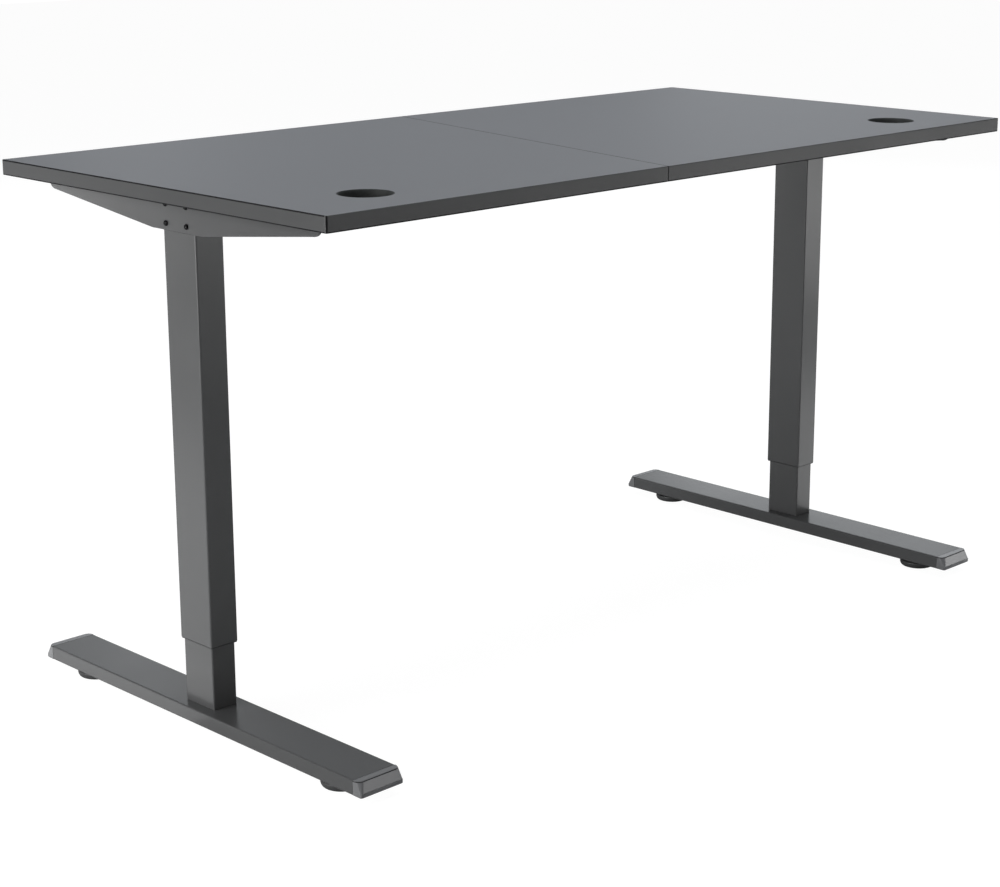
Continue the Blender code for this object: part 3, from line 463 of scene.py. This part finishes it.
def turned(name, outline, count, centre, closed=False, bands=None):
    """A turned shape: each (radius, height) of the outline becomes a circle of count points
    about the upright line through centre, and the circles are skinned in turn."""
    angle = np.linspace(0, 2 * math.pi, count, endpoint=False)
    rings = [
        np.stack((
            centre[0] + radius * np.cos(angle),
            centre[1] + radius * np.sin(angle),
            np.full(count, centre[2] + height),
        ), axis=1)
        for radius, height in outline
    ]
    return skin(name, rings, closed, bands)


for side, sign in SIDES:
    for end, way in ENDS:
        node = f"{side}_{end}_levelling_pad"
        low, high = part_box(node)
        centre = ((low.x + high.x) / 2, (low.y + high.y) / 2, 0.0)
        radius = (high.x - low.x) / 2
        turns = 12
        thread_low, thread_high = 0.0126, high.z - 0.0008
        steps = np.linspace(thread_low, thread_high, 2 * turns + 1)
        thread = [(0.0040 if i % 2 else 0.0034, z) for i, z in enumerate(steps)]
        disc = [
            (radius - 0.0060, low.z), (radius - 0.0045, low.z + 0.0001), (radius - 0.0030, 0.0007),
            (radius - 0.0017, 0.0019), (radius - 0.0007, 0.0037), (radius - 0.0001, 0.0058),
            (radius, 0.0074), (radius, 0.0086), (radius - 0.0003, 0.0094),
            (radius - 0.0012, 0.0100), (radius - 0.0060, 0.0103), (0.0120, 0.0105),
            (0.0112, 0.0108), (0.0108, 0.0119), (0.0100, 0.0120),
        ]
        outline = disc + [(0.0034, 0.0120)] + thread + [(0.0026, high.z)]
        bands = [0] * len(disc) + [1] * (len(outline) - 1 - len(disc))
        pad = turned(node + "_disc", outline, 64, centre, bands=bands)
        add_piece(node + "_disc", pad, f"{side}_{end}_pad",
                  [pad_plastic, stud_steel], [node], sharp=28.0)


# Columns. The narrow inner tube stands on the foot and the wide outer tube slides over it:
# rectangular welded steel tube with tight corners, both coated like the feet.
TUBE_WALL = 0.0015
TUBE_CORNER = 0.0024
TUBE_EDGE = 0.0001


def tube_rings(low, high, corner, wall, edge):
    """Rings of an upright rectangular tube: up the outside, over the upper rim, down the
    inside and back under the lower rim, with each rim's two edges cut back by edge."""
    width, depth = high.x - low.x, high.y - low.y
    centre_x, centre_y = (low.x + high.x) / 2, (low.y + high.y) / 2
    stations = (
        (low.z, -edge), (low.z + edge, 0.0), (high.z - edge, 0.0), (high.z, -edge),
        (high.z, edge - wall), (high.z - edge, -wall), (low.z + edge, -wall), (low.z, edge - wall),
    )
    rings = []
    for z, grow in stations:
        outline = arc_corners(width + 2 * grow, depth + 2 * grow, corner + grow, 8)
        rings.append(np.stack(
            (outline[:, 0] + centre_x, outline[:, 1] + centre_y, np.full(len(outline), z)), axis=1))
    return rings


for side, sign in SIDES:
    for kind, body in (("inner", "base"), ("outer", "lifting_frame")):
        node = f"{side}_{kind}_tube"
        low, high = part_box(node)
        rings = tube_rings(low, high, TUBE_CORNER, TUBE_WALL, TUBE_EDGE)
        tube = skin(node + "_steel", rings, closed=True)
        add_piece(node + "_steel", tube, body, [frame_paint], [node])


# Side arms. Folded sheet steel: a deep web flush with the outer tube and a flange under the
# top, tapering to rounded ends, coated like the columns.
ARM_SHEET = 0.0025
ARM_BEND = 0.0035
ARM_INNER_BEND = 0.0010
ARM_EDGE = 0.0004
ARM_LOWER_EDGE = 0.0001
ARM_FLAT_HALF = 0.0540
ARM_NOSE = 0.0140
ARM_END_DEPTH = 0.0175
WEB_TO_TUBE = 0.00045    # the web reaches this much lower, to close the joint with the tube

for side, sign in SIDES:
    node = side + "_side_arm"
    low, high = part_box(node)
    centre_y = (low.y + high.y) / 2
    half_length = (high.y - low.y) / 2
    outer_x = high.x if sign > 0 else low.x
    flange = high.x - low.x
    full_depth = high.z - low.z + WEB_TO_TUBE
    taper_half = half_length - ARM_NOSE
    nose_angle = np.linspace(0, math.pi / 2, 13)[1:]
    nose_reach = taper_half + ARM_NOSE * np.sin(nose_angle)
    nose_depth = ARM_END_DEPTH - (ARM_END_DEPTH - 2 * ARM_SHEET) * 0.75 * (1 - np.cos(nose_angle))
    reach = np.concatenate((
        np.linspace(0.0, ARM_FLAT_HALF, 4), np.linspace(ARM_FLAT_HALF, taper_half, 12)[1:],
        nose_reach))
    depth = np.concatenate((
        np.full(4, full_depth), np.linspace(full_depth, ARM_END_DEPTH, 12)[1:], nose_depth))
    reach = np.concatenate((-reach[:0:-1], reach))
    depth = np.concatenate((depth[:0:-1], depth))
    quarter = np.linspace(0, math.pi / 2, 7)
    # inward distance from the web's outer face, and height below the flange's top
    outer_arc = np.stack(
        (ARM_BEND - ARM_BEND * np.cos(quarter), ARM_BEND - ARM_BEND * np.sin(quarter)), axis=1)
    inner_arc = np.stack((
        ARM_SHEET + ARM_INNER_BEND * (1 - np.sin(quarter)),
        ARM_SHEET + ARM_INNER_BEND * (1 - np.cos(quarter)),
    ), axis=1)
    rings = []
    for along, deep in zip(reach, depth):
        section = np.concatenate((
            ((ARM_LOWER_EDGE, deep), (0.0, deep - ARM_LOWER_EDGE)),
            outer_arc,
            ((flange - ARM_EDGE, 0.0), (flange, ARM_EDGE),
             (flange, ARM_SHEET - ARM_EDGE), (flange - ARM_EDGE, ARM_SHEET)),
            inner_arc,
            ((ARM_SHEET, deep - ARM_EDGE), (ARM_SHEET - ARM_EDGE, deep)),
        ))
        x = outer_x - sign * section[:, 0]
        z = high.z - section[:, 1]
        rings.append(np.stack((x, np.full(len(x), centre_y + along), z), axis=1))
    arm = skin(node + "_sheet", rings)
    add_piece(node + "_sheet", arm, "lifting_frame", [frame_paint], [node])


# Bolts. Black button-head screws with a hexagonal socket, its walls and floor lighter grey as a
# painted highlight: four through each side arm into the column head, two up through the ledges
# into the rails, two in each foot.
# head radius, head height, shank radius, socket across flats
ARM_SCREW = (0.0038, 0.0022, 0.0020, 0.0025)
FRAME_SCREW = (0.00525, 0.0033, 0.0030, 0.0040)
black_steel = coated("black_steel", (0.004, 0.004, 0.005), 0.50, grain=2600.0, specular=0.12)
# the socket's lighter grey metal is a painted highlight in the black screw
socket_painted_highlight = coated("socket_painted_highlight", (0.16, 0.16, 0.16), 0.45, metallic=0.6, grain=2600.0)


def button_head(name, low, high, axis, way, radius, height, shank, flats):
    """A button-head bolt inside its box: the shank runs along one axis, the head's far face
    points to way; the dome is a quarter ellipse, and the socket is a hexagon whose distance
    from the axis is half the flats over the cosine of the angle off the nearest flat."""
    count = 48
    angle = np.linspace(0, 2 * math.pi, count, endpoint=False)
    round_ring = np.ones(count)
    off_flat = (angle + math.pi / 6) % (math.pi / 3) - math.pi / 6
    hexagon_ring = flats / 2 / np.cos(off_flat)
    length = high[axis] - low[axis] - height
    dome = np.linspace(0, math.pi / 2, 7)[:-1]
    rim = height * 0.25
    stack = [
        (round_ring * shank * 0.8, -length), (round_ring * shank, -length + shank * 0.4),
        (round_ring * shank, 0.0), (round_ring * (radius - 0.0003), 0.0),
        (round_ring * radius, 0.0003),
    ]
    flat_radius = radius * 0.60
    stack += [
        (round_ring * (flat_radius + (radius - flat_radius) * math.cos(a)),
         rim + (height - rim) * math.sin(a))
        for a in dome
    ]
    stack += [
        (round_ring * flat_radius, height), (hexagon_ring * 1.10, height),
        (hexagon_ring, height - 0.0003), (hexagon_ring, height * 0.35),
        (hexagon_ring * 0.3, height * 0.22),
    ]
    first, second = [i for i in range(3) if i != axis]
    base = np.zeros(3)
    base[first] = (low[first] + high[first]) / 2
    base[second] = (low[second] + high[second]) / 2
    base[axis] = high[axis] - height if way > 0 else low[axis] + height
    rings = []
    for ring, along in stack:
        points = np.tile(base, (count, 1))
        points[:, first] += ring * np.cos(angle)
        points[:, second] += ring * np.sin(angle)
        points[:, axis] += way * along
        rings.append(points)
    # the socket's walls and floor take the painted highlight
    bands = [0] * (len(stack) - 3) + [1, 1]
    return skin(name, rings, bands=bands)


# node, screw's size, axis, the way its head points, body
bolts = [(f"{side}_arm_bolt_{n}", ARM_SCREW, 0, sign, "lifting_frame")
         for side, sign in SIDES for n in range(1, 5)]
bolts += [(f"{side}_{end}_rail_bolt", FRAME_SCREW, 2, -1.0, "lifting_frame")
          for side, _ in SIDES for end, _ in ENDS]
bolts += [(f"{side}_{end}_foot_bolt", FRAME_SCREW, 2, -1.0, "base")
          for side, _ in SIDES for end, _ in ENDS]
for node, size, axis, way, body in bolts:
    low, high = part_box(node)
    bolt = button_head(node + "_screw", low, high, axis, way, *size)
    add_piece(node + "_screw", bolt, body, [black_steel, socket_painted_highlight], [node])


# Column heads, motors, rails and the parts inside the columns. Cast aluminium gearboxes,
# black enamelled motors, coated steel rails, brass nuts and black plastic guides; each is
# its own solid with its edges broken.
casting = coated("head_casting", (0.42, 0.425, 0.43), 0.48, metallic=0.9, grain=700.0, relief=0.00012)
motor_enamel = coated("motor_enamel", (0.030, 0.030, 0.032), 0.36, grain=1100.0)
bright_steel = coated("bright_steel", (0.56, 0.56, 0.57), 0.30, metallic=1.0, stretch=(1.0, 1.0, 0.05))
nut_brass = coated("nut_brass", (0.70, 0.50, 0.22), 0.32, metallic=1.0)
guide_plastic = coated("guide_plastic", (0.020, 0.020, 0.021), 0.45, grain=1800.0, relief=0.00002)


def soften(node, name, body, materials, width, segments=3, angle=35.0):
    """A copy of a CAD node with its triangles merged and flat faces joined, and every edge
    sharper than angle rounded to width."""
    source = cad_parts[node]
    mesh = source.data.copy()
    mesh.materials.clear()
    work = bmesh.new()
    work.from_mesh(mesh)
    bmesh.ops.remove_doubles(work, verts=work.verts, dist=1e-6)
    bmesh.ops.dissolve_limit(
        work, angle_limit=math.radians(1.0), verts=work.verts, edges=work.edges)
    work.to_mesh(mesh)
    work.free()
    piece = add_piece(name, mesh, body, materials, [node], sharp=angle)
    bevel = piece.modifiers.new("broken_edges", "BEVEL")
    bevel.width = width
    bevel.segments = segments
    bevel.limit_method = "ANGLE"
    bevel.angle_limit = math.radians(angle)
    piece.modifiers.move(len(piece.modifiers) - 1, 0)
    return piece


for side, sign in SIDES:
    soften(side + "_column_head", side + "_head_casting", "lifting_frame", [casting], 0.0010)
    soften(side + "_motor", side + "_motor_can", "lifting_frame", [motor_enamel], 0.0006)
    soften(side + "_base_plate", side + "_base_block", "base", [bright_steel], 0.0003, 2)
    soften(side + "_spindle_nut", side + "_nut_block", "base", [nut_brass], 0.0004, 2)
    soften(side + "_lower_bush", side + "_lower_guide", "lifting_frame",
           [guide_plastic], 0.0002, 2)
    soften(side + "_upper_bush", side + "_upper_guide", "base",
           [guide_plastic], 0.0002, 2)
    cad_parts[side + "_spindle"].data.materials.clear()
    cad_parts[side + "_spindle"].data.materials.append(bright_steel)
for end, way in ENDS:
    soften(end + "_rail", end + "_rail_steel", "lifting_frame", [frame_paint], 0.0003, 2)
soften("seam_plate", "seam_plate_steel", "lifting_frame", [bright_steel], 0.0003, 2)


# Top. Two laminated boards meeting at a slanting butt joint: matt grey laminate on both
# faces, a thin plastic edge band all round and a dark glue line along the band's arris,
# with painted shade in the same near-black over the lower arris, the short edge's upper
# arris and the end corners.
BOARD_COLOUR = (0.110, 0.113, 0.122)
EDGE_COLOUR = (0.050, 0.051, 0.052)
BOARD_CORNER = 0.0030
SEAM_CORNER = 0.0009
SEAM_GAP = 0.0006
BOARD_ARRIS = 0.0008
DARK_BAND_DEPTH = 0.0017      # where the painted shade ends on the side, this far from the top face and from the bottom face
HOLE_PLAY = 0.0002
HOLE_EDGE = 0.0003
ARC_STEPS = 8
SIDE_POINTS = 24
laminate = coated("board_laminate", BOARD_COLOUR, 0.46, grain=900.0, relief=0.00002, spread=0.03,
                  wander=0.004)
edge_band = coated("board_edge_band", EDGE_COLOUR, 0.40, grain=1500.0, relief=0.00002, spread=0.03)
# near-black: the glue line beside the band, and painted shade on the arrises and end corners
glue_with_painted_shade = coated("board_glue_and_painted_shade", (0.006, 0.006, 0.007), 0.7, specular=0.2)


def corner_arcs(corners, radii, inset):
    """The outline of a convex polygon with rounded corners, moved inwards by inset: each
    corner's arc keeps its centre, set back from both sides by the radius, and its radius
    loses the inset; straight sides are filled with evenly spaced points."""
    corners = np.asarray(corners, float)
    arcs = []
    for i in range(len(corners)):
        here, radius = corners[i], radii[i]
        before = corners[i - 1] - here
        after = corners[(i + 1) % len(corners)] - here
        before /= np.linalg.norm(before)
        after /= np.linalg.norm(after)
        half = math.acos(np.clip(before @ after, -1, 1)) / 2
        middle = (before + after) / np.linalg.norm(before + after)
        centre = here + middle * radius / math.sin(half)
        spoke = here + before * radius / math.tan(half) - centre
        turn = np.linspace(0, math.pi - 2 * half, ARC_STEPS + 1)
        x = spoke[0] * np.cos(turn) - spoke[1] * np.sin(turn)
        y = spoke[0] * np.sin(turn) + spoke[1] * np.cos(turn)
        arcs.append(centre + np.stack((x, y), axis=1) * max(radius - inset, 1e-5) / radius)
    points = []
    for i, arc in enumerate(arcs):
        following = arcs[(i + 1) % len(arcs)][0]
        share = np.linspace(0, 1, SIDE_POINTS + 2)[1:-1, None]
        points += [arc, arc[-1] * (1 - share) + following * share]
    return np.concatenate(points)


for side, sign in SIDES:
    node = side + "_top_board"
    low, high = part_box(node)
    other_low, other_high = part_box("right_top_board" if sign < 0 else "left_top_board")
    grommet_low, grommet_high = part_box(side + "_grommet")
    hole_centre = np.array(
        ((grommet_low.x + grommet_high.x) / 2, (grommet_low.y + grommet_high.y) / 2))
    hole_radius = (grommet_high.x - grommet_low.x) / 2 + HOLE_PLAY
    # the seam leans from one side of the middle to the other
    slant_gap = SEAM_GAP * 1.02
    if sign < 0:
        far_x, near_x = high.x, other_low.x - slant_gap
        corners = [(low.x, low.y), (near_x, low.y), (far_x, high.y), (low.x, high.y)]
        radii = [BOARD_CORNER, SEAM_CORNER, SEAM_CORNER, BOARD_CORNER]
        ends, short, seam = (0, 3), 3, 1
    else:
        near_x, far_x = low.x, other_high.x + slant_gap
        corners = [(near_x, low.y), (high.x, low.y), (high.x, high.y), (far_x, high.y)]
        radii = [SEAM_CORNER, BOARD_CORNER, BOARD_CORNER, SEAM_CORNER]
        ends, short, seam = (1, 2), 1, 3
    rim = corner_arcs(corners, radii, 0.0)
    direction = rim - hole_centre
    direction /= np.linalg.norm(direction, axis=1)[:, None]
    turn = np.linspace(0, math.pi / 2, 6)
    top, bottom = high.z, low.z
    # what each level follows, its hole radius or its inset from the rim, and its height
    levels = [
        ("hole", hole_radius, bottom + HOLE_EDGE), ("hole", hole_radius, top - HOLE_EDGE),
        ("hole", hole_radius + HOLE_EDGE, top),
        ("rim", BOARD_ARRIS + 0.0005, top), ("rim", BOARD_ARRIS, top),
    ]
    levels += [
        ("rim", BOARD_ARRIS * (1 - math.sin(a)), top - BOARD_ARRIS * (1 - math.cos(a)))
        for a in turn[1:]
    ]
    levels += [("rim", 0.0, top - DARK_BAND_DEPTH), ("rim", 0.0, bottom + DARK_BAND_DEPTH)]
    levels += [
        ("rim", BOARD_ARRIS * (1 - math.cos(a)), bottom + BOARD_ARRIS * (1 - math.sin(a)))
        for a in turn
    ]
    levels += [("rim", BOARD_ARRIS + 0.0005, bottom), ("hole", hole_radius + HOLE_EDGE, bottom)]
    rings = []
    for kind, size, z in levels:
        if kind == "hole":
            flat = hole_centre + direction * size
        else:
            flat = corner_arcs(corners, radii, size)
        rings.append(np.concatenate((flat, np.full((len(flat), 1), z)), axis=1))
    # the dark material: a glue line beside the band on the top and bottom faces, and painted shade along
    # the lower arris, the upper arris of the short edge and the corners
    gaps = np.array([0, 0, 0, 2] + [1] * 13 + [2, 0, 0])
    bands = np.tile(gaps[:, None], (1, len(rim)))
    upper_painted_shade, lower_painted_shade, whole_edge = slice(4, 10), slice(11, 17), slice(4, 17)
    # painted shade: the near-black material laid over these arrises and corners
    for corner in range(4):
        start = (ARC_STEPS + 1 + SIDE_POINTS) * corner
        straight = slice(start + ARC_STEPS, start + ARC_STEPS + 1 + SIDE_POINTS)
        if corner in ends:
            bands[whole_edge, start + 2:start + ARC_STEPS - 2] = 2
        if corner != seam:
            bands[lower_painted_shade, straight] = 2
        if corner == short:
            bands[upper_painted_shade, straight] = 2
    board = skin(node + "_panel", rings, closed=True, bands=bands)
    add_piece(node + "_panel", board, "lifting_frame",
              [laminate, edge_band, glue_with_painted_shade], [node], sharp=50.0)


# Grommets. Black moulded liners pressed into round holes, flush with the top: a thin rim
# flaring into a straight sleeve through the board.
black_plastic = coated("black_plastic", (0.030, 0.032, 0.031), 0.60, grain=1500.0,
                       relief=0.00003, specular=0.25)
for side, sign in SIDES:
    node = side + "_grommet"
    low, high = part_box(node)
    centre = ((low.x + high.x) / 2, (low.y + high.y) / 2, 0.0)
    radius = (high.x - low.x) / 2
    rim = high.z
    outline = [
        (radius - 0.0002, rim - 0.0001), (radius - 0.0004, rim), (radius - 0.0007, rim),
        (radius - 0.0011, rim - 0.0003), (radius - 0.0016, rim - 0.0012),
        (radius - 0.0022, rim - 0.0030), (radius - 0.0028, rim - 0.0060),
        (radius - 0.0028, low.z + 0.0004),
        (radius - 0.0024, low.z), (radius - 0.0004, low.z), (radius, low.z + 0.0004),
        (radius, rim - 0.0006),
    ]
    liner = turned(node + "_liner", outline, 96, centre, closed=True)
    add_piece(node + "_liner", liner, "lifting_frame", [black_plastic], [node])


# Control box and handset. Black moulded cases screwed under the top; the handset has a dark
# display window and three soft-touch rubber buttons.
soften("control_box", "control_box_case", "lifting_frame", [black_plastic], 0.0025, 4)
soften("handset_case", "handset_shell", "lifting_frame", [black_plastic], 0.0008, 3)
button_rubber = coated("button_rubber", (0.080, 0.080, 0.084), 0.52, grain=2400.0, relief=0.00002)
window_gloss = coated("window_gloss", (0.010, 0.010, 0.012), 0.12, grain=300.0, relief=0.000005, coat=0.5)
for button in ("up_button", "down_button", "memory_button"):
    soften(button, button + "_cap", button + "_body", [button_rubber], 0.0005, 3)
soften("handset_display", "handset_window", "lifting_frame", [window_gloss], 0.0003, 2)
